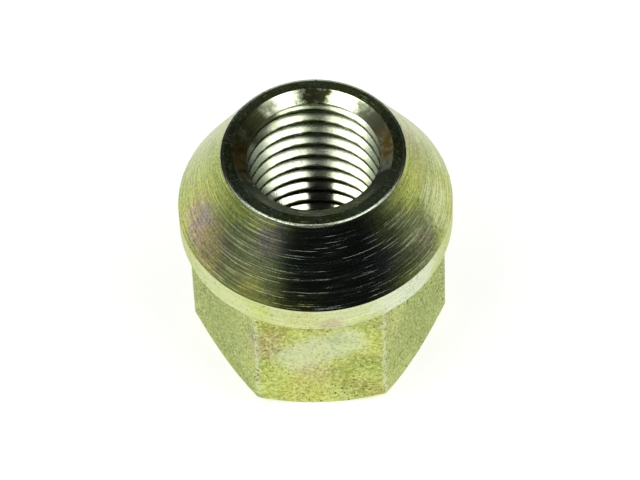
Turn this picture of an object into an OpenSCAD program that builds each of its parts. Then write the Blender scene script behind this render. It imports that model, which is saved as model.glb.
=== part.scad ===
// Open-ended wheel lug nut with a 60 degree cone seat, one solid of steel.
// Millimetres. The axis is Z, the hex end stands on z = 0, the cone points up,
// and two flats face along Y.

/* [Thread] */
// Nominal thread diameter
thread_d = 12; // [10:0.1:13]
// Thread pitch
thread_pitch = 1.5; // [1:0.05:2]
// Countersink diameter at both mouths of the hole
mouth_d = 12.7; // [12:0.1:13.2]
// Countersink included angle, degrees
mouth_angle = 120; // [90:1:140]

/* [Hex] */
// Width across flats
hex_flats = 18; // [16.5:0.1:18.6]
// Hex height, base to collar underside
hex_h = 13; // [8:0.1:20]
// Radius on the six upright hex edges
hex_edge_r = 0.45; // [0.2:0.05:1]
// Diameter of the flat circle left at the base by the corner chamfer
base_d = 17.8; // [16:0.1:18]
// Slope of the corner chamfer at the base, degrees
base_slope = 35; // [15:1:40]

/* [Collar] */
// Collar diameter
collar_d = 22; // [21:0.1:25]
// Collar height, the plain round band
collar_h = 2.6; // [1.2:0.1:5]
// Radius on the collar's lower edge
collar_edge_r = 0.35; // [0.1:0.05:0.6]

/* [Cone seat] */
// Included angle of the seat, degrees
cone_angle = 60; // [50:1:90]
// Diameter of the nose face, measured to the sharp corner
nose_d = 14.6; // [13.8:0.1:16]
// Radius on the nose edge
nose_r = 0.35; // [0.1:0.05:0.6]

/* [Hidden] */
$fn = 96;
// one hundredth of a millimetre, for cuts that run past a face
over = 0.01;
// sides of a hex, and the turn from one to the next
sides = 6;
turn = 360 / sides;
// straight steps that make up each small round edge
arc_steps = 6;
// tapping bore: the thread crests stand this share of a pitch inside the major radius
crest_share = 0.45;
bore_r = thread_d / 2 - crest_share * thread_pitch;
mouth_r = mouth_d / 2;
mouth_depth = (mouth_r - bore_r) / tan(mouth_angle / 2);
mouth_over = over * tan(mouth_angle / 2);
// hex
apothem = hex_flats / 2;
edge_centre = (apothem - hex_edge_r) / cos(turn / 2);
// heights
collar_r = collar_d / 2;
nose_face_r = nose_d / 2;
cone_half = cone_angle / 2;
cone_h = (collar_r - nose_face_r) / tan(cone_half);
collar_top = hex_h + collar_h;
height = collar_top + cone_h;
// the round nose edge touches the cone and the face this far from the sharp corner
nose_turn = 90 - cone_half;
nose_tangent = nose_r * tan(nose_turn / 2);
// the corner chamfer climbs from the base circle out past the hex corners
base_r = base_d / 2;
chamfer_h = (collar_r - base_r) * tan(base_slope);

// points along a round edge, from one angle to another
function arc(centre, r, from, to) = [
    for (k = [0 : arc_steps])
        let (a = from + (to - from) * k / arc_steps)
        centre + r * [cos(a), sin(a)]
];

// the six-sided outline with rounded corners, flats facing along Y
module hex_outline() {
    polygon([
        for (i = [0 : sides - 1])
            let (a = i * turn)
            each arc(edge_centre * [cos(a), sin(a)], hex_edge_r, a - turn / 2, a + turn / 2)
    ]);
}

// hex body, its base corners turned off at a slope
module hex_body() {
    intersection() {
        linear_extrude(height = hex_h + collar_h / 2)
            hex_outline();
        rotate_extrude()
            polygon([
                [0, 0],
                [base_r, 0],
                [collar_r, chamfer_h],
                [collar_r, collar_top],
                [0, collar_top]
            ]);
    }
}

// half section of the collar, the cone and the nose
module seat_section() {
    polygon(concat(
        [[0, hex_h]],
        arc([collar_r - collar_edge_r, hex_h + collar_edge_r], collar_edge_r, -90, 0),
        [[collar_r, collar_top]],
        arc([nose_face_r - nose_tangent, height - nose_r], nose_r, cone_half, 90),
        [[0, height]]
    ));
}

// half section of the hole, countersunk at both mouths
module bore_section() {
    polygon([
        [0, -over],
        [mouth_r + mouth_over, -over],
        [bore_r, mouth_depth],
        [bore_r, height - mouth_depth],
        [mouth_r + mouth_over, height + over],
        [0, height + over]
    ]);
}

// the whole nut, one solid
module lug_nut() {
    color([0.74, 0.74, 0.40])
        difference() {
            union() {
                hex_body();
                rotate_extrude()
                    seat_section();
            }
            rotate_extrude()
                bore_section();
        }
}

lug_nut();
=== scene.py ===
"""Open-ended wheel lug nut: a hex body, a collar, a turned cone seat and a threaded hole, plated yellow."""

import math

import bpy
from bpy.props import FloatProperty, FloatVectorProperty, IntProperty, PointerProperty
from mathutils import Matrix, Vector


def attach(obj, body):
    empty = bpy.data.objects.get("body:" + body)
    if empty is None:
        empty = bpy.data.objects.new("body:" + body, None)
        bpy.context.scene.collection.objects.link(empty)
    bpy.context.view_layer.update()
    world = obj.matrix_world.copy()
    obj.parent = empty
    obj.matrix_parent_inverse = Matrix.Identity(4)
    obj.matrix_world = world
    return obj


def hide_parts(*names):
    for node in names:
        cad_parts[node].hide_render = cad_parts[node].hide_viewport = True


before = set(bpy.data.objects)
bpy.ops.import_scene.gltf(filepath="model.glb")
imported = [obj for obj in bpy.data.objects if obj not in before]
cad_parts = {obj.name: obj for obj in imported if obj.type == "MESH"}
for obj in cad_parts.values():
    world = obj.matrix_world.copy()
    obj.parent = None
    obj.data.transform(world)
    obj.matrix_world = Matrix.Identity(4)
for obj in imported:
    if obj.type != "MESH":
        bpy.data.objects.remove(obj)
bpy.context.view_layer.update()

bl_info = {
    "name": "Lug Nut",
    "version": (1, 0, 0),
    "blender": (4, 5, 0),
    "location": "View3D > Sidebar > Lug Nut",
    "description": "Builds a plated wheel lug nut on its solid model, with its stage",
    "category": "Object",
}

TURN = 2 * math.pi
# sides of the hex, and the angle of one
SIDES = 6
SIXTH = TURN / SIDES
# millimetres in a metre
MILLIMETRES = 1000

# how strongly mesh columns gather at the hex corners and mesh rows at the rims, 0 being even
CORNER_CROWD = 0.86
RIM_CROWD = 0.9
# mesh rows of the bands of surface; the thread's rows come from its turns
ROWS = {
    "base": 4, "chamfer": 5, "flats": 20, "ledge": 4, "lip": 8,
    "collar": 9, "cone": 26, "tip": 10, "nose": 6, "mouth": 8,
}
# turns that the thread is drawn past the nut's height, so that it reaches both countersinks
SPARE_TURNS = 2
# height over which the thread deepens beside a countersink, in metres
RUN_IN = 0.00015
# widths of the worn edges, and of the painted shade along the thread's crests, in metres
CORNER_WEAR = 0.00042
CHAMFER_WEAR = 0.00025
COLLAR_WEAR = 0.0003
CREST_SHADE = 0.00007
# points that lie nearer than this are sewn together, in metres
SEAM = 2e-6
# edges that turn by more than this are shaded sharp
SHARP = math.radians(24)

# the table's half width, how far it comes forward and how far it lies under the nut, in metres
TABLE_REACH = 0.6
TABLE_FRONT = 0.06
TABLE_DROP = 1e-5
# brightness of the table in the metal, close to the nut, and the distances between which it fades away
MIRRORED = 0.54
MIRRORED_FADE = (0.04, 0.18)
# brightness added to it for the camera, close to the nut, and the distances between which it grows to 1
SEEN = 0.68
SEEN_FADE = (0.03, 0.2)

# soft lamps: name, direction from the nut, direction of the long side, sizes in metres, share of the power
LAMPS = (
    ("soft_left", (-0.45, -0.25, 0.857), (-0.386, 0.313, -0.133), (0.29, 0.17), 1.0),
    ("soft_right", (0.45, -0.25, 0.857), (0.386, 0.313, -0.133), (0.29, 0.17), 1.0),
    ("soft_top", (0.0, 0.14, 1.0), (1.0, 0.0, 0.0), (0.5, 0.08), 0.65),
)
LAMP_DISTANCE = 0.5

# pale walls of the room: the direction of each from the nut, its spread and its share of the brightness
WALLS = (
    ((0.0, 0.9, 0.43), 1.5, 0.024),
    ((0.0, -1.0, 0.1), 0.35, 0.021),
    ((0.0, -0.8, 0.6), 0.06, 0.32),
    ((-0.8, -0.6, 0.0), 0.15, 0.56),
    ((0.93, -0.36, 0.0), 0.12, 0.06),
    ((-0.86, -0.05, 0.5), 0.1, 1.0),
    ((0.86, -0.05, 0.5), 0.1, 1.0),
    ((0.0, 0.94, 0.34), 0.1, 1.0),
)


def length(name, description, default):
    """A property that holds a length, given in millimetres."""
    return FloatProperty(
        name=name, description=description, default=default / MILLIMETRES,
        min=0, precision=5, unit="LENGTH"
    )


def angle(name, description, default):
    """A property that holds an angle, given in degrees."""
    return FloatProperty(
        name=name, description=description, default=math.radians(default),
        subtype="ANGLE", unit="ROTATION"
    )


def colour(name, description, default):
    """A property that holds a linear colour."""
    return FloatVectorProperty(
        name=name, description=description, default=default, size=3, min=0, max=1, subtype="COLOR"
    )


class LugNutSizes(bpy.types.PropertyGroup):
    """Sizes of the nut, those of its solid model, with its thread and its mesh."""

    root_d: length("Root Diameter", "Diameter at the thread's roots", 12.5)
    pitch: length("Pitch", "Height of one turn of the thread", 1.5)
    crest_d: length("Crest Diameter", "Diameter at the thread's crests", 10.65)
    crest_flat: length("Crest Flat", "Height of the flat on each crest", 0.2)
    flank_slope: angle("Flank Slope", "Slope of the thread's flanks", 30)
    thread_start: length("Thread Start", "Height that places the first crest", 1.4)
    mouth_d: length("Mouth Diameter", "Countersink diameter at both ends of the hole", 12.7)
    mouth_angle: angle("Mouth Angle", "Included angle of the countersinks", 120)
    hex_flats: length("Hex Flats", "Width across the flats", 18)
    hex_h: length("Hex Height", "Base to the collar's underside", 13)
    hex_edge_r: length("Hex Edge Radius", "Radius on the six upright edges", 0.45)
    base_d: length("Base Diameter", "Flat circle left by the chamfer at the base", 17.8)
    base_slope: angle("Base Slope", "Slope of the chamfer at the base", 35)
    collar_d: length("Collar Diameter", "Diameter of the collar, just inside the solid's", 21.99)
    collar_h: length("Collar Height", "Height of the collar's plain band", 2.6)
    collar_edge_r: length("Collar Edge Radius", "Radius on the collar's lower edge", 0.35)
    cone_angle: angle("Cone Angle", "Included angle of the seat", 60)
    nose_d: length("Nose Diameter", "Diameter of the nose, to its sharp corner", 14.6)
    nose_r: length("Nose Edge Radius", "Radius on the nose edge", 0.35)
    side_columns: IntProperty(
        name="Side Columns", description="Mesh columns on each hex side", default=32, min=12
    )
    turn_rows: IntProperty(
        name="Turn Rows", description="Mesh rows on each turn of the thread", default=16, min=8
    )


class LugNutFinish(bpy.types.PropertyGroup):
    """Colours of the plating, and of the light and shade painted on it."""

    green: colour("Yellow Green", "Main colour of the plating", (0.66, 0.74, 0.19))
    gold: colour("Gold", "Thick part of the plating", (0.68, 0.65, 0.13))
    # the olive colour also paints shade on the hex's left and right faces
    olive: colour("Olive", "Deep green part of the plating", (0.37, 0.47, 0.09))
    cone: colour("Cone Green", "Plating on the turned cone", (0.45, 0.53, 0.12))
    glint: colour("Glint", "Pale grains of the hex", (0.84, 0.92, 0.36))
    cream: colour("Cream", "Thin, pale part of the plating", (0.77, 0.84, 0.47))
    rose: colour("Rose", "Pink sheen of thick plating", (0.62, 0.43, 0.28))
    violet: colour("Violet", "Blue and purple sheen of thick plating", (0.36, 0.27, 0.33))
    dusk: colour("Dusk", "Dark grains of the hex", (0.27, 0.31, 0.06))
    brown: colour("Brown", "Burnt part of the plating", (0.34, 0.27, 0.06))
    # painted light on the cone: a dark reflection of the room on its front, and bright highlight lines
    # across it
    painted_dark_reflection: colour("Dark_Painted_Reflection", "Dark rubbed part of the cone", (0.065, 0.095, 0.115))
    painted_highlight_lines: colour("Streak", "Bright lines in the rubbed part of the cone", (0.66, 0.78, 0.64))
    grey: colour("Grey Green", "Dull plating on the nose", (0.36, 0.52, 0.29))
    frost: colour("Frost", "Pale grains of the nose", (0.46, 0.60, 0.44))
    pale: colour("Pale", "Thinnest plating, nearly bare zinc", (0.80, 0.87, 0.62))
    worn: colour("Worn", "Zinc on rubbed edges", (0.70, 0.77, 0.60))
    # the pit colour also paints dark reflection on the nose ring and shade along the thread's crests
    pit: colour("Pit", "Dark pits in the grain", (0.085, 0.09, 0.025))
    # the scale colour paints the dark reflection of the room in the upper end of the hole
    scale: colour("Scale", "Dark scale at the mouth", (0.045, 0.05, 0.02))
    steel: colour("Bore Steel", "Cut metal in the hole", (0.73, 0.83, 0.56))
    rust: colour("Rust", "Rust at the mouth", (0.165, 0.105, 0.012))


class LugNutStage(bpy.types.PropertyGroup):
    """Camera, lamps and room."""

    target: FloatVectorProperty(
        name="Target", description="Point in the middle of the picture",
        default=(0.000234, 0, 0.01016), unit="LENGTH"
    )
    distance: length("Distance", "Camera to target", 400.5)
    azimuth: angle("Azimuth", "Camera's turn about the nut", 0.822)
    elevation: angle("Elevation", "Camera's height above the table", 53.79)
    roll: angle("Roll", "Camera's turn about its own axis", 2.504)
    lens: FloatProperty(name="Lens", description="Focal length in millimetres", default=278.18)
    lamp_power: FloatProperty(
        name="Lamp Power", description="Power of each side lamp", default=0.42, unit="POWER"
    )
    room: FloatProperty(name="Room", description="Brightness of the dark room", default=0.004)
    walls: FloatProperty(
        name="Walls", description="Brightness of the pale walls round the nut", default=0.75
    )


class Num:
    """One number in a node tree, so that nodes can be written as sums."""

    def __init__(self, tree, socket):
        self.tree, self.socket = tree, socket

    def math(self, operation, *others):
        """A Math node that takes this number first."""
        node = self.tree.nodes.new("ShaderNodeMath")
        node.operation = operation
        for i, value in enumerate((self, *others)):
            plug(self.tree, value, node.inputs[i])
        return Num(self.tree, node.outputs[0])

    def __add__(self, other):
        return self.math("ADD", other)

    def __sub__(self, other):
        return self.math("SUBTRACT", other)

    def __mul__(self, other):
        return self.math("MULTIPLY", other)

    def __truediv__(self, other):
        return self.math("DIVIDE", other)

    def __neg__(self):
        return self * -1.0

    def __rsub__(self, other):
        return -self + other

    def __rtruediv__(self, other):
        return self.math("POWER", -1.0) * other

    __radd__, __rmul__ = __add__, __mul__

    def least(self, other):
        return self.math("MINIMUM", other)

    def most(self, other):
        return self.math("MAXIMUM", other)

    def blend(self, other, share):
        """This number at share 0, the other at share 1."""
        return self + (other - self) * share

    def ramp(self, low, high):
        """0 below low, 1 above high, smooth between."""
        inputs = {0: self, 1: low, 2: high}
        node = add(self.tree, "ShaderNodeMapRange", inputs, interpolation_type="SMOOTHSTEP")
        return Num(self.tree, node.outputs[0])

    def __getattr__(self, name):
        plain = {"sin": "SINE", "cos": "COSINE", "tan": "TANGENT", "root": "SQRT", "floor": "FLOOR",
                 "fraction": "FRACT", "size": "ABSOLUTE", "ceil": "CEIL", "arctan": "ARCTANGENT"}
        if name not in plain:
            raise AttributeError(name)
        return self.math(plain[name])


def plug(tree, value, socket):
    """Links a number or socket to an input, or sets the input to a plain value."""
    if isinstance(value, Num):
        value = value.socket
    if isinstance(value, bpy.types.NodeSocket):
        tree.links.new(value, socket)
    else:
        socket.default_value = value


def add(tree, kind, inputs=None, **settings):
    """Adds a node with its options set and its inputs linked or filled."""
    node = tree.nodes.new(kind)
    for key, value in settings.items():
        setattr(node, key, value)
    for key, value in (inputs or {}).items():
        plug(tree, value, node.inputs[key])
    return node


def rgb(values):
    """A colour property as the four numbers that a socket takes."""
    return (*values, 1.0)


def shape_tree(sizes, materials):
    """Node tree of the whole nut: twelve bands of surface, each a grid bent round the axis."""
    tree = bpy.data.node_groups.new("lug_nut_shape", "GeometryNodeTree")
    tree.interface.new_socket("Geometry", in_out="INPUT", socket_type="NodeSocketGeometry")
    tree.interface.new_socket("Geometry", in_out="OUTPUT", socket_type="NodeSocketGeometry")
    start, end = tree.nodes.new("NodeGroupInput"), tree.nodes.new("NodeGroupOutput")
    size = {}
    for key, value in sizes.items():
        kind = "NodeSocketInt" if isinstance(value, int) else "NodeSocketFloat"
        tree.interface.new_socket(key, in_out="INPUT", socket_type=kind).default_value = value
        size[key] = Num(tree, start.outputs[key])

    # where a point lies on its flat grid, from 0 to 1 each way
    position = tree.nodes.new("GeometryNodeInputPosition").outputs[0]
    across = add(tree, "ShaderNodeSeparateXYZ", {0: position})
    column, row = (Num(tree, across.outputs[i]) + 0.5 for i in (0, 1))

    # columns crowd at the six corners
    side, part = (column * SIDES).floor, (column * SIDES).fraction
    inside = (part - (part * TURN).sin * (CORNER_CROWD / TURN)) * SIXTH
    around = side * SIXTH + inside
    corner = inside.least(SIXTH - inside)

    # radius of the hex all round: flats, and a round edge at each corner
    apothem, edge = size["hex_flats"] / 2, size["hex_edge_r"]
    pivot = (apothem - edge) / math.cos(SIXTH / 2)
    flat_end = SIXTH / 2 - (pivot * math.sin(SIXTH / 2) / apothem).arctan
    flat_r = apothem / (SIXTH / 2 - corner).cos
    reach = pivot * corner.sin
    round_r = pivot * corner.cos + (edge * edge - reach * reach).most(0).root
    hex_r = flat_r.blend(round_r, corner.math("LESS_THAN", flat_end))

    # radii and heights; the round nose edge starts at a distance, touch, from the sharp corner
    mouth_r, base_r = size["mouth_d"] / 2, size["base_d"] / 2
    collar_r, nose_r = size["collar_d"] / 2, size["nose_d"] / 2
    lip, tip = size["collar_edge_r"], size["nose_r"]
    half = size["cone_angle"] / 2
    collar_top = size["hex_h"] + size["collar_h"]
    height = collar_top + (collar_r - nose_r) / half.tan
    touch = tip * (math.pi / 4 - half / 2).tan
    chamfer_z = ((hex_r - base_r) * size["base_slope"].tan).most(0)
    crowd = row - (row * TURN).sin * (RIM_CROWD / TURN)
    columns = size["side_columns"] * SIDES + 1

    def band(rows, r, z, material, wear=0.0):
        """One band of surface, rows of points at radius r and height z; wear above 0 marks worn edges, and
        painted shade on the thread's crests.
        """
        lattice = {"Size X": 1.0, "Size Y": 1.0, "Vertices X": columns, "Vertices Y": rows}
        grid = add(tree, "GeometryNodeMeshGrid", lattice).outputs[0]
        point = add(tree, "ShaderNodeCombineXYZ", {0: r * around.cos, 1: r * around.sin, 2: z}).outputs[0]
        edge_value = {"Geometry": grid, "Name": "edge", "Value": wear}
        worn = add(tree, "GeometryNodeStoreNamedAttribute", edge_value).outputs[0]
        bent = add(tree, "GeometryNodeSetPosition", {"Geometry": worn, "Position": point}).outputs[0]
        return add(tree, "GeometryNodeSetMaterial", {"Geometry": bent, "Material": material}).outputs[0]

    def rim(distance, width):
        """1 on an edge, falling to 0 at a width from it."""
        return (1.0 - distance / width).most(0)

    # the outside, from the edge of the hole at the base up to its edge at the nose
    zero = row * 0
    lift = chamfer_z.blend(size["hex_h"], crowd)
    corner_wear = rim(corner * apothem, CORNER_WEAR)
    flat_wear = corner_wear.most(rim(lift - chamfer_z, CHAMFER_WEAR) * 0.7)
    lip_turn = (row - 1.0) * (math.pi / 2)
    tip_turn = half.blend(math.pi / 2 + zero, row)
    bands = [
        band(ROWS["base"], mouth_r.blend(base_r, row), zero, materials["hex"]),
        band(ROWS["chamfer"], base_r.blend(hex_r, row), chamfer_z * row, materials["hex"],
             wear=corner_wear * 0.6),
        band(ROWS["flats"], hex_r, lift, materials["hex"], wear=flat_wear),
        band(ROWS["ledge"], hex_r.blend(collar_r - lip, row), size["hex_h"] + zero, materials["collar"]),
        band(ROWS["lip"], collar_r - lip + lip * lip_turn.cos, size["hex_h"] + lip + lip * lip_turn.sin,
             materials["collar"], wear=0.5),
        band(ROWS["collar"], collar_r + zero, (size["hex_h"] + lip).blend(collar_top, crowd),
             materials["collar"], wear=rim((1.0 - crowd) * size["collar_h"], COLLAR_WEAR)),
        band(ROWS["cone"], collar_r.blend(nose_r + touch * half.sin, crowd),
             collar_top.blend(height - touch * half.cos, crowd), materials["cone"]),
        band(ROWS["tip"], nose_r - touch + tip * tip_turn.cos, height - tip + tip * tip_turn.sin,
             materials["nose"], wear=1.0),
        band(ROWS["nose"], (nose_r - touch).blend(mouth_r, crowd), height + zero, materials["nose"]),
    ]

    # the hole: rows follow the thread, with one on each of its edges, and stop at the countersinks; each
    # half turn has one step of rows on the crest's half flat, one on the root's, and the rest on the flank
    pitch, crest_r, root_r = size["pitch"], size["crest_d"] / 2, size["root_d"] / 2
    mouth_depth = (mouth_r - crest_r) / (size["mouth_angle"] / 2).tan
    flank = (root_r - crest_r) * size["flank_slope"].tan
    crest, root = size["crest_flat"] / 2, (pitch - size["crest_flat"]) / 2 - flank
    turns = (height / pitch).ceil
    step = row * (turns + SPARE_TURNS)
    from_crest = step.fraction - 0.5
    count = from_crest.size * size["turn_rows"]
    flank_rows = size["turn_rows"] / 2 - 2
    past_crest = ((count - 1.0) / flank_rows).most(0).least(1) * flank
    away = count.least(1) * crest + past_crest + (count - 1.0 - flank_rows).most(0) * root
    climb = (turns - 0.5 - step.floor) * pitch - from_crest.math("SIGN") * away
    deep = climb + around * (1 / TURN) * pitch + size["thread_start"]
    deep = deep.most(mouth_depth).least(height - mouth_depth)
    started = (deep.least(height - deep) - mouth_depth).ramp(0.0, RUN_IN)
    wall = crest_r + past_crest / size["flank_slope"].tan * started
    bands += [
        band(ROWS["mouth"], mouth_r.blend(crest_r, row), height - mouth_depth * row, materials["mouth"]),
        # on the thread, the edge value marks the painted shade along the crests
        band((turns + SPARE_TURNS) * size["turn_rows"] + 1, wall, deep, materials["thread"],
             wear=rim(past_crest, CREST_SHADE) * started),
        band(ROWS["mouth"], crest_r.blend(mouth_r, row), mouth_depth * (1.0 - row), materials["mouth"]),
    ]

    join = tree.nodes.new("GeometryNodeJoinGeometry")
    for piece in reversed(bands):
        tree.links.new(piece, join.inputs[0])
    sewn = add(tree, "GeometryNodeMergeByDistance", {"Geometry": join.outputs[0], "Distance": SEAM})
    smooth = add(tree, "GeometryNodeSetShadeSmooth", {"Geometry": sewn.outputs[0]})
    whole = add(tree, "GeometryNodeRealizeInstances", {0: smooth.outputs[0]})
    tree.links.new(whole.outputs[0], end.inputs[0])
    return tree


def group(name, inputs, outputs):
    """An empty shader node group with named inputs and outputs, and its end node."""
    tree = bpy.data.node_groups.new(name, "ShaderNodeTree")
    kinds = {3: "NodeSocketVector", 4: "NodeSocketColor"}
    for key, value in inputs.items():
        kind = "NodeSocketFloat" if isinstance(value, float) else kinds[len(value)]
        tree.interface.new_socket(key, in_out="INPUT", socket_type=kind).default_value = value
    for key, kind in outputs.items():
        tree.interface.new_socket(key, in_out="OUTPUT", socket_type=kind)
    start, end = tree.nodes.new("NodeGroupInput"), tree.nodes.new("NodeGroupOutput")
    return tree, {k: Num(tree, start.outputs[k]) for k in inputs}, end


def noise(tree, vector, scale, detail=2.0, roughness=0.5):
    """A noise texture's value."""
    inputs = {"Vector": vector, "Scale": scale, "Detail": detail, "Roughness": roughness}
    return Num(tree, add(tree, "ShaderNodeTexNoise", inputs).outputs[0])


def place(tree):
    """Object coordinates, whole and as three numbers."""
    spot = tree.nodes.new("ShaderNodeTexCoord").outputs["Object"]
    parts = add(tree, "ShaderNodeSeparateXYZ", {0: spot})
    return spot, [Num(tree, s) for s in parts.outputs]


def from_axis(x, y):
    """Distance from the nut's axis."""
    return (x * x + y * y).root


def mixed(tree, share, a, b):
    """Colour a at share 0, colour b at share 1."""
    return add(tree, "ShaderNodeMix", {0: share, 6: a, 7: b}, data_type="RGBA").outputs[2]


def scaled(tree, shade, factor):
    """A colour made darker or lighter."""
    return add(tree, "ShaderNodeVectorMath", {0: shade, "Scale": factor}, operation="SCALE").outputs[0]


def turning_group():
    """Fine lines left by a cutting tool, which run round the axis, a few of them cut deep."""
    tree, put, end = group(
        "turning_marks", {"Along": 0.0, "Line": 0.0001, "Drift": 300.0, "Deep": 0.6, "Contrast": 0.5},
        {"Height": "NodeSocketFloat", "Tone": "NodeSocketFloat", "Lines": "NodeSocketFloat"})
    spot, (x, y, _) = place(tree)
    along = put["Along"] / put["Line"]
    fine = add(tree, "ShaderNodeCombineXYZ", {0: x * put["Drift"], 1: y * put["Drift"], 2: along})
    thin = noise(tree, fine.outputs[0], 1.0, 2.0, 0.6)
    where = noise(tree, spot, 350.0, 2.0).ramp(0.32, 0.56)
    deep = thin.ramp(put["Deep"], put["Deep"] + 0.1) * where
    plug(tree, thin * 0.4 - deep * 0.75, end.inputs["Height"])
    plug(tree, (thin - 0.5) * put["Contrast"] + 1.0, end.inputs["Tone"])
    plug(tree, thin.ramp(0.49, 0.69), end.inputs["Lines"])
    return tree


def grain_group():
    """Grainy plated skin: its height, its pale and dark grains, and dark pits that gather in places."""
    tree, put, end = group(
        "plated_grain", {"Size": 0.0002, "Contrast": 1.5, "Pits": 0.4},
        {key: "NodeSocketFloat" for key in ("Height", "Pale", "Dark", "Pits")})
    spot, _ = place(tree)
    skin = noise(tree, spot, 0.9 / put["Size"], 3.0, 0.85)
    dots = noise(tree, spot, 0.8 / put["Size"], 1.0, 0.5)
    crowd = noise(tree, spot, 0.12 / put["Size"], 2.0, 0.6)
    grain = (skin - 0.5) * put["Contrast"]
    plug(tree, skin, end.inputs["Height"])
    plug(tree, grain.most(0).least(1), end.inputs["Pale"])
    plug(tree, (-grain).most(0).least(1), end.inputs["Dark"])
    plug(tree, (1.0 - dots.ramp(0.33, 0.39)) * crowd.ramp(0.36, 0.58) * put["Pits"], end.inputs["Pits"])
    return tree


def plating_group(finish):
    """Colour of the plating, which drifts from a base to a deep colour, gold, cream and rose."""
    tree, put, end = group(
        "plating_colour",
        {"Patch": 0.004, "Shift": 0.0, "Gold": 0.5, "Cream": 0.5, "Rose": 0.4,
         "Base": rgb(finish.green), "Deep": rgb(finish.olive)},
        {"Colour": "NodeSocketColor"})
    _, (x, y, z) = place(tree)
    moved = add(tree, "ShaderNodeCombineXYZ", {0: x + put["Shift"], 1: y, 2: z})
    field = [noise(tree, moved.outputs[0], k / put["Patch"], 4.0, 0.62) for k in (1.0, 1.7, 0.8, 1.3)]
    shade = mixed(tree, field[0].ramp(0.32, 0.58), put["Deep"], put["Base"])
    shade = mixed(tree, field[1].ramp(0.42, 0.66) * put["Gold"], shade, rgb(finish.gold))
    shade = mixed(tree, field[2].ramp(0.48, 0.68) * put["Cream"], shade, rgb(finish.cream))
    shade = mixed(tree, field[3].ramp(0.50, 0.70) * put["Rose"], shade, rgb(finish.rose))
    plug(tree, shade, end.inputs["Colour"])
    return tree


def patch_group():
    """One ragged patch round a point, 1 in its middle and 0 outside."""
    tree, put, end = group("ragged_patch", {"Centre": (0.0, 0.0, 0.0), "Radius": 0.002, "Ragged": 0.4},
                           {"Mask": "NodeSocketFloat"})
    spot, _ = place(tree)
    apart = add(tree, "ShaderNodeVectorMath", {0: spot, 1: put["Centre"]}, operation="DISTANCE")
    away = Num(tree, apart.outputs["Value"])
    torn = noise(tree, spot, 2.2 / put["Radius"], 4.0, 0.65) - 0.5
    outward = away / put["Radius"] + torn * put["Ragged"] * 4
    plug(tree, 1.0 - outward.ramp(0.35, 1.0), end.inputs["Mask"])
    return tree


def wear_and_crest_shade_group():
    """Rubbed edges, and the painted shade along the thread's crests, broken up along their length."""
    tree, put, end = group("edge_wear_and_crest_shade", {"Amount": 1.0, "Break": 0.0005}, {"Mask": "NodeSocketFloat"})
    edge = Num(tree, add(tree, "ShaderNodeAttribute", attribute_name="edge").outputs["Fac"])
    spot, _ = place(tree)
    torn = noise(tree, spot, 1.0 / put["Break"], 3.0, 0.65)
    plug(tree, (edge + (torn - 0.5) * 1.6 - 0.3).ramp(0.0, 0.7) * put["Amount"], end.inputs["Mask"])
    return tree


class Finish:
    """A metal finish in the making: a material, its groups, and a Principled shader."""

    def __init__(self, name, groups):
        self.material = bpy.data.materials.new(name)
        self.material.use_nodes = True
        self.tree, self.groups = self.material.node_tree, groups
        self.shader = self.tree.nodes["Principled BSDF"]
        self.shader.inputs["Metallic"].default_value = 1.0
        self.spot, self.xyz = place(self.tree)

    def use(self, name, **values):
        """Places a shared group with this material's own values."""
        node = add(self.tree, "ShaderNodeGroup", node_tree=self.groups[name])
        for key, value in values.items():
            plug(self.tree, value, node.inputs[key])
        return {key: Num(self.tree, socket) for key, socket in node.outputs.items()}

    def mask(self, centre, radius, ragged):
        """A ragged patch, its centre and radius given in millimetres."""
        middle = [v / MILLIMETRES for v in centre]
        return self.use("patch", Centre=middle, Radius=radius / MILLIMETRES, Ragged=ragged)["Mask"]

    def mix(self, share, shade, other):
        """A colour with a share of another laid over it."""
        return mixed(self.tree, share, shade, rgb(other))

    def patches(self, shade, ragged, *patches):
        """Lays patches over a colour, each a colour, an amount, a centre and a radius."""
        for other, amount, centre, radius in patches:
            shade = self.mix(self.mask(centre, radius, ragged) * amount, shade, other)
        return shade

    def grained(self, shade, grain, pale, dark, pit):
        """A colour broken up into pale grains, dark grains and pits."""
        shade = self.mix(grain["Pale"], shade, pale)
        shade = self.mix(grain["Dark"], shade, dark)
        return self.mix(grain["Pits"], shade, pit)

    def paint(self, shade, rough, height, depth, strength=1.0):
        """Joins colour, roughness and relief to the shader."""
        plug(self.tree, shade, self.shader.inputs["Base Color"])
        plug(self.tree, rough, self.shader.inputs["Roughness"])
        relief = {"Height": height, "Distance": depth, "Strength": strength}
        bump = add(self.tree, "ShaderNodeBump", relief)
        plug(self.tree, bump.outputs[0], self.shader.inputs["Normal"])
        return self.material


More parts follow.
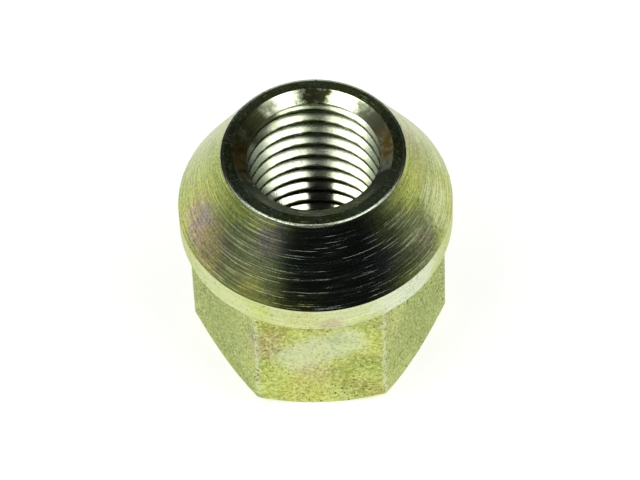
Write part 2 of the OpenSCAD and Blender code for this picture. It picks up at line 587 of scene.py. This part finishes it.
def hex_finish(finish, groups):
    """Grainy plating on the cold formed hex."""
    f = Finish("hex_plating", groups)
    shade = f.use("plating", Patch=0.0032, Shift=0.003, Gold=0.6, Cream=0.45, Rose=0.35)["Colour"]
    # painted shade: the first two olive patches darken the hex's left and right faces
    shade = f.patches(
        shade, 0.3,
        (finish.olive, 0.85, (-9.5, -4.2, 5), 9),
        (finish.olive, 0.85, (9.5, -4.2, 6), 9),
        (finish.green, 0.9, (-3.6, -9, 3.2), 3.2),
        (finish.brown, 0.5, (-3.4, -9, 10.7), 1.8),
        (finish.brown, 0.55, (-0.4, -9, 10.9), 1.6),
        (finish.olive, 0.7, (3.9, -9, 11.7), 1.8),
        (finish.rose, 0.55, (-4.5, -9, 8.2), 2.4),
        (finish.rose, 0.45, (-0.9, -9, 4.4), 2.4),
        (finish.brown, 0.5, (3.7, -9, 2.0), 2.0),
        (finish.gold, 0.5, (-1.6, -9, 2.0), 2.8))
    smear = f.mask((-1.7, -9, 6.8), 2.6, 0.25)
    smear = smear.most(f.mask((0.2, -9, 7.6), 2.6, 0.25)).most(f.mask((2.0, -9, 8.6), 2.4, 0.25))
    shade = f.mix(smear * 0.55, shade, finish.pale)
    grain = f.use("grain", Size=0.0002, Contrast=5.8 - smear * 2.6, Pits=0.9 - smear * 0.5)
    worn = f.use("wear", Amount=0.6, Break=0.0006)["Mask"]
    shade = f.mix(worn, shade, finish.worn)
    shade = f.grained(shade, grain, finish.glint, finish.dusk, finish.pit)
    rough = 0.42 + grain["Pits"] * 0.2 - worn * 0.1
    return f.paint(shade, rough, grain["Height"], depth=0.00003, strength=0.6)


def collar_finish(finish, groups):
    """Satin plating on the collar."""
    f = Finish("collar_plating", groups)
    shade = f.use("plating", Patch=0.004, Shift=0.011, Gold=0.35, Cream=0.8, Rose=0.25,
                  Deep=rgb(finish.green))["Colour"]
    shade = f.patches(
        shade, 0.3,
        (finish.cream, 0.8, (0, -11, 14.4), 6),
        (finish.pale, 1.0, (7.2, -8.4, 14.4), 5),
        (finish.cream, 0.6, (-8, -8, 14.4), 4.5),
        (finish.gold, 0.35, (-1.4, -11, 14.5), 2.2),
        (finish.rose, 0.6, (1.1, -11, 13.6), 1.3))
    grain = f.use("grain", Size=0.0002, Contrast=2.2, Pits=0.35)
    marks = f.use("turning", Along=f.xyz[2], Line=0.00016, Drift=250.0, Deep=0.68, Contrast=0.6)
    worn = f.use("wear", Amount=0.5, Break=0.0004)["Mask"]
    shade = f.mix(worn, shade, finish.worn)
    shade = scaled(f.tree, shade, marks["Tone"])
    shade = f.grained(shade, grain, finish.pale, finish.olive, finish.pit)
    height = grain["Height"] * 0.4 + marks["Height"] * 0.3
    rough = 0.36 + grain["Pits"] * 0.2
    return f.paint(shade, rough, height, depth=0.00003, strength=0.6)


def cone_finish(finish, groups):
    """Turned cone: lines round the axis under a drifting sheen, with a painted dark reflection of the room
    at the front, crossed by painted highlight lines.
    """
    f = Finish("cone_plating", groups)
    shade = f.use("plating", Patch=0.0035, Shift=0.02, Gold=0.3, Cream=0.25, Rose=0.3,
                  Base=rgb(finish.cone), Deep=rgb(finish.olive))["Colour"]
    shade = f.patches(
        shade, 0.6,
        (finish.rose, 0.7, (-9.4, -2.6, 17.4), 2.4),
        (finish.gold, 0.25, (-9.9, -1.0, 17.4), 3.0),
        (finish.violet, 0.8, (-8.9, -3.9, 17.9), 2.6),
        (finish.rose, 0.8, (-8.3, -5.4, 17.1), 3.0),
        (finish.dusk, 0.5, (-7.4, -6.2, 18.2), 3.0),
        (finish.gold, 0.5, (-5.3, -8.7, 17.0), 2.2),
        (finish.violet, 0.6, (-3.4, -7.4, 20.3), 2.2),
        (finish.rose, 0.5, (4.8, -8.1, 18.3), 2.4),
        (finish.dusk, 0.8, (7.8, -5.8, 17.6), 3.8),
        (finish.rose, 0.3, (8.6, -5.2, 17.0), 1.6),
        (finish.cream, 0.55, (9.4, -2.2, 17.8), 2.6),
        (finish.dusk, 0.5, (8.4, 1.4, 19.8), 3.6),
        (finish.brown, 0.4, (7.7, 1.6, 21.0), 2.4))
    grain = f.use("grain", Size=0.0002, Contrast=3.0, Pits=0.5)
    marks = f.use("turning", Along=f.xyz[2], Line=0.00009, Drift=240.0, Deep=0.6, Contrast=2.6)
    shade = scaled(f.tree, shade, marks["Tone"])
    shade = f.grained(shade, grain, finish.glint, finish.dusk, finish.pit)
    # painted dark reflection of the room over the cone's front and the near parts of its sides, crossed by
    # painted highlight lines along the turning marks; the relief is shallower there
    rubbed_and_painted_reflection = f.mask((2.0, -9.3, 18.8), 8.6, 0.25)
    rubbed_and_painted_reflection = rubbed_and_painted_reflection.most(f.mask((7.6, -6.4, 17.6), 4.2, 0.4) * 0.5)
    rubbed_and_painted_reflection = rubbed_and_painted_reflection.most(f.mask((-5.4, -7.6, 18.8), 5.0, 0.4) * 0.55)
    bright = (marks["Lines"] * (grain["Pale"] + 0.75 - grain["Dark"] * 0.6)).least(1)
    lines = mixed(f.tree, bright, rgb(finish.painted_dark_reflection), rgb(finish.painted_highlight_lines))
    shade = mixed(f.tree, rubbed_and_painted_reflection * 0.9, shade, lines)
    rough = 0.24 + grain["Pits"] * 0.1
    return f.paint(shade, rough, marks["Height"] * (1.0 - rubbed_and_painted_reflection * 0.4), depth=0.000012)


def nose_finish(finish, groups):
    """Faced nose ring, its outer edge worn bright, with painted dark reflection on its face."""
    f = Finish("nose_plating", groups)
    x, y, _ = f.xyz
    shade = f.use("plating", Patch=0.003, Shift=0.03, Gold=0.1, Cream=0.2, Rose=0.1,
                  Base=rgb(finish.grey), Deep=rgb(finish.olive))["Colour"]
    # painted dark reflection: three dark patches at the left, front and right of the ring's face
    shade = f.patches(
        shade, 0.4,
        (finish.pit, 0.75, (-6.8, 0.5, 22), 5.5),
        (finish.pit, 0.4, (0, -7, 22), 4.0),
        (finish.pit, 0.6, (6.8, 0.5, 22), 4.5))
    grain = f.use("grain", Size=0.00028, Contrast=4.0, Pits=0.9)
    marks = f.use("turning", Along=from_axis(x, y), Line=0.00012, Drift=300.0, Deep=0.66, Contrast=1.0)
    worn = f.use("wear", Amount=0.85, Break=0.0006)["Mask"]
    shade = f.mix(worn, shade, finish.worn)
    shade = scaled(f.tree, shade, marks["Tone"])
    shade = f.grained(shade, grain, finish.frost, finish.pit, finish.pit)
    rough = 0.22 + grain["Pits"] * 0.3
    height = marks["Height"] * 0.5 + grain["Height"] * 0.5
    return f.paint(shade, rough, height, depth=0.000018)


def thread_finish(finish, groups):
    """Cut metal of the thread, thinly plated, duller near the mouth, with painted shade along its crests
    and a painted dark reflection near the mouth.
    """
    f = Finish("thread_steel", groups)
    shade = f.use("plating", Patch=0.004, Shift=0.05, Gold=0.0, Cream=0.3, Rose=0.05,
                  Base=rgb(finish.steel), Deep=rgb(finish.worn))["Colour"]
    grain = f.use("grain", Size=0.00025, Contrast=0.5, Pits=0.15)
    shade = f.patches(
        shade, 0.3,
        (finish.grey, 0.7, (-5.6, -1.0, 16.5), 5.0),
        (finish.grey, 0.6, (5.6, 0.5, 18.0), 4.0))
    # painted shade: dark lines along the thread's crests, standing for the shade between its turns
    shade = f.mix(f.use("wear", Amount=0.9, Break=0.0008)["Mask"], shade, finish.pit)
    # painted dark reflection of the room on the thread near the mouth, at the back left, in the scale
    # colour
    scale = f.mask((-4.6, 3.6, 20.9), 3.4, 0.25) * 0.95
    shade = f.mix(scale, shade, finish.scale)
    shade = f.mix(grain["Pits"], shade, finish.pit)
    rough = 0.08 + f.xyz[2].ramp(0.009, 0.0135) * 0.16 + grain["Pits"] * 0.3 + scale * 0.2
    return f.paint(shade, rough, grain["Height"], depth=0.000008, strength=0.4)


def mouth_finish(finish, groups):
    """Countersinks, turned, the upper one with painted dark reflection in places, and rusty at both sides.
    """
    f = Finish("mouth_steel", groups)
    x, y, _ = f.xyz
    shade = f.use("plating", Patch=0.003, Shift=0.04, Gold=0.1, Cream=0.4, Rose=0.1,
                  Base=rgb(finish.steel), Deep=rgb(finish.worn))["Colour"]
    marks = f.use("turning", Along=from_axis(x, y), Line=0.00008, Drift=400.0, Deep=0.64, Contrast=0.8)
    # painted dark reflection of the room on the countersink's left, right and back, in the scale colour,
    # broken by the turning lines
    scale = f.mask((-4.7, 3.3, 21.5), 3.2, 0.25)
    scale = scale.most(f.mask((-5.9, 0.6, 21.6), 4.2, 0.3))
    scale = scale.most(f.mask((5.2, 3.3, 21.5), 2.6, 0.4) * 0.85)
    scale = scale.most(f.mask((0.2, 5.9, 21.7), 1.7, 0.5))
    scale = scale * (1.3 - marks["Lines"] * 0.4).least(1)
    shade = f.mix(scale, scaled(f.tree, shade, marks["Tone"]), finish.scale)
    specks = noise(f.tree, f.spot, 1600.0, 4.0, 0.65).ramp(0.15, 0.6)
    rust = f.mask((-6.1, -0.5, 21.8), 2.8, 0.7) * 0.5
    rust = rust.most(f.mask((6.2, 0.6, 21.7), 2.8, 0.3)) * specks
    shade = f.mix(rust, shade, finish.rust)
    plug(f.tree, 1.0 - rust * 0.8, f.shader.inputs["Metallic"])
    rough = 0.2 + rust * 0.2 + scale * 0.12
    return f.paint(shade, rough, marks["Height"], depth=0.00001)


class LUGNUT_OT_nut(bpy.types.Operator):
    """Build the nut from its sizes, with its thread and its plating"""

    bl_idname = "object.lug_nut_build"
    bl_label = "Build Nut"

    def execute(self, context):
        sizes, finish = context.scene.lug_nut_sizes, context.scene.lug_nut_finish
        groups = {"turning": turning_group(), "grain": grain_group(), "plating": plating_group(finish),
                  "patch": patch_group(), "wear": wear_and_crest_shade_group()}
        materials = {"hex": hex_finish(finish, groups), "collar": collar_finish(finish, groups),
                     "cone": cone_finish(finish, groups), "nose": nose_finish(finish, groups),
                     "thread": thread_finish(finish, groups), "mouth": mouth_finish(finish, groups)}
        values = {key: getattr(sizes, key) for key in LugNutSizes.__annotations__}
        maker = bpy.data.objects.new("nut_maker", bpy.data.meshes.new("nut_maker"))
        context.collection.objects.link(maker)
        shape = maker.modifiers.new("shape", "NODES")
        shape.node_group = shape_tree(values, materials)
        for item in shape.node_group.interface.items_tree:
            if item.in_out == "INPUT" and item.name in values:
                shape[item.identifier] = values[item.name]
        depsgraph = context.evaluated_depsgraph_get()
        mesh = bpy.data.meshes.new_from_object(
            maker.evaluated_get(depsgraph), preserve_all_data_layers=True, depsgraph=depsgraph)
        bpy.data.objects.remove(maker)
        mesh.set_sharp_from_angle(angle=SHARP)
        mesh.name = "nut"
        nut = bpy.data.objects.new("nut", mesh)
        context.collection.objects.link(nut)
        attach(nut, "root")
        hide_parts("lug_nut")
        return {"FINISHED"}


def table_material(covered):
    """White table, nearly plain white to the camera, bright in the metal round the nut, dark under it."""
    material = bpy.data.materials.new("white_table")
    material.use_nodes = True
    tree = material.node_tree
    shader = tree.nodes["Principled BSDF"]
    shader.inputs["Base Color"].default_value = (0.9, 0.9, 0.9, 1.0)
    shader.inputs["Roughness"].default_value = 0.9
    shader.inputs["Specular IOR Level"].default_value = 0.0
    path = tree.nodes.new("ShaderNodeLightPath")
    camera, glossy, through = (
        Num(tree, path.outputs["Is %s Ray" % kind]) for kind in ("Camera", "Glossy", "Transmission"))
    _, (x, y, _) = place(tree)
    away = from_axis(x, y)
    near = away.ramp(covered * 0.9, covered) * (MIRRORED - away.ramp(*MIRRORED_FADE) * MIRRORED)
    plain = SEEN + away.ramp(*SEEN_FADE) * (1.0 - SEEN)
    seen = (camera * plain).most(glossy.most(through) * near)
    glow = add(tree, "ShaderNodeEmission", {"Color": (1.0, 1.0, 1.0, 1.0), "Strength": seen})
    both = add(tree, "ShaderNodeAddShader", {0: shader.outputs[0], 1: glow.outputs[0]})
    tree.links.new(both.outputs[0], tree.nodes["Material Output"].inputs["Surface"])
    return material


class LUGNUT_OT_stage(bpy.types.Operator):
    """Set up the white table, the soft lamps, the room and the camera"""

    bl_idname = "scene.lug_nut_stage"
    bl_label = "Build Stage"

    def lamp(self, context, name, direction, along, size, power):
        """One soft lamp that looks at the nut, its long side turned to a direction."""
        data = bpy.data.lights.new(name, "AREA")
        data.shape, data.size, data.size_y, data.energy = "RECTANGLE", size[0], size[1], power
        lamp = bpy.data.objects.new(name, data)
        back = Vector(direction).normalized()
        side = (Vector(along) - back * back.dot(Vector(along))).normalized()
        turn = Matrix((side, back.cross(side), back)).transposed()
        aim = Vector(context.scene.lug_nut_stage.target)
        lamp.matrix_world = Matrix.Translation(aim + back * LAMP_DISTANCE) @ turn.to_4x4()
        lamp.visible_camera = False
        context.collection.objects.link(lamp)

    def execute(self, context):
        scene, stage = context.scene, context.scene.lug_nut_stage
        reach, front = TABLE_REACH, TABLE_FRONT
        corners = [(-reach, -front, 0), (reach, -front, 0), (reach, reach, 0), (-reach, reach, 0)]
        mesh = bpy.data.meshes.new("table")
        mesh.from_pydata(corners, [], [(0, 1, 2, 3)])
        mesh.materials.append(table_material(scene.lug_nut_sizes.base_d / 2))
        table = bpy.data.objects.new("table", mesh)
        table.location.z = -TABLE_DROP
        context.collection.objects.link(table)

        for name, direction, along, size, share in LAMPS:
            self.lamp(context, name, direction, along, size, stage.lamp_power * share)

        world = bpy.data.worlds.new("room")
        world.use_nodes = True
        tree = world.node_tree
        room = tree.nodes["Background"]
        room.inputs["Color"].default_value = (1.0, 1.0, 1.0, 1.0)
        way = tree.nodes.new("ShaderNodeTexCoord").outputs["Generated"]
        level = stage.room
        for middle, spread, share in WALLS:
            facing = add(tree, "ShaderNodeVectorMath", {0: way, 1: middle}, operation="DOT_PRODUCT")
            bright = Num(tree, facing.outputs["Value"]).ramp(1.0 - spread, 1.0)
            level = bright * (share * stage.walls) + level
        plug(tree, level, room.inputs["Strength"])
        white = add(tree, "ShaderNodeBackground", {"Color": (1.0, 1.0, 1.0, 1.0), "Strength": 1.0})
        path = tree.nodes.new("ShaderNodeLightPath")
        both = add(tree, "ShaderNodeMixShader",
                   {0: path.outputs["Is Camera Ray"], 1: room.outputs[0], 2: white.outputs[0]})
        tree.links.new(both.outputs[0], tree.nodes["World Output"].inputs["Surface"])
        scene.world = world

        data = bpy.data.cameras.new("camera")
        data.lens = stage.lens
        data.clip_start, data.clip_end = 0.01, 10
        camera = bpy.data.objects.new("camera", data)
        aim = Vector(stage.target)
        level, turn = math.cos(stage.elevation), stage.azimuth
        back = Vector((level * math.sin(turn), -level * math.cos(turn), math.sin(stage.elevation)))
        look = (-back).to_track_quat("-Z", "Y").to_matrix() @ Matrix.Rotation(-stage.roll, 3, "Z")
        camera.matrix_world = Matrix.Translation(aim + back * stage.distance) @ look.to_4x4()
        context.collection.objects.link(camera)
        scene.camera = camera
        scene.view_settings.view_transform = "Standard"
        return {"FINISHED"}


class LUGNUT_PT_panel(bpy.types.Panel):
    """Sizes, finish and stage of the nut"""

    bl_idname = "LUGNUT_PT_panel"
    bl_label = "Lug Nut"
    bl_space_type = "VIEW_3D"
    bl_region_type = "UI"
    bl_category = "Lug Nut"

    def draw(self, context):
        scene = context.scene
        for owner in (scene.lug_nut_sizes, scene.lug_nut_finish, scene.lug_nut_stage):
            box = self.layout.box()
            for key in type(owner).__annotations__:
                box.prop(owner, key)
        self.layout.operator(LUGNUT_OT_nut.bl_idname)
        self.layout.operator(LUGNUT_OT_stage.bl_idname)


CLASSES = (LugNutSizes, LugNutFinish, LugNutStage, LUGNUT_OT_nut, LUGNUT_OT_stage, LUGNUT_PT_panel)


def register():
    for kind in CLASSES:
        bpy.utils.register_class(kind)
    bpy.types.Scene.lug_nut_sizes = PointerProperty(type=LugNutSizes)
    bpy.types.Scene.lug_nut_finish = PointerProperty(type=LugNutFinish)
    bpy.types.Scene.lug_nut_stage = PointerProperty(type=LugNutStage)


def unregister():
    del bpy.types.Scene.lug_nut_stage
    del bpy.types.Scene.lug_nut_finish
    del bpy.types.Scene.lug_nut_sizes
    for kind in reversed(CLASSES):
        bpy.utils.unregister_class(kind)


def main():
    register()
    bpy.ops.object.lug_nut_build()
    bpy.ops.scene.lug_nut_stage()


if __name__ == "__main__":
    main()
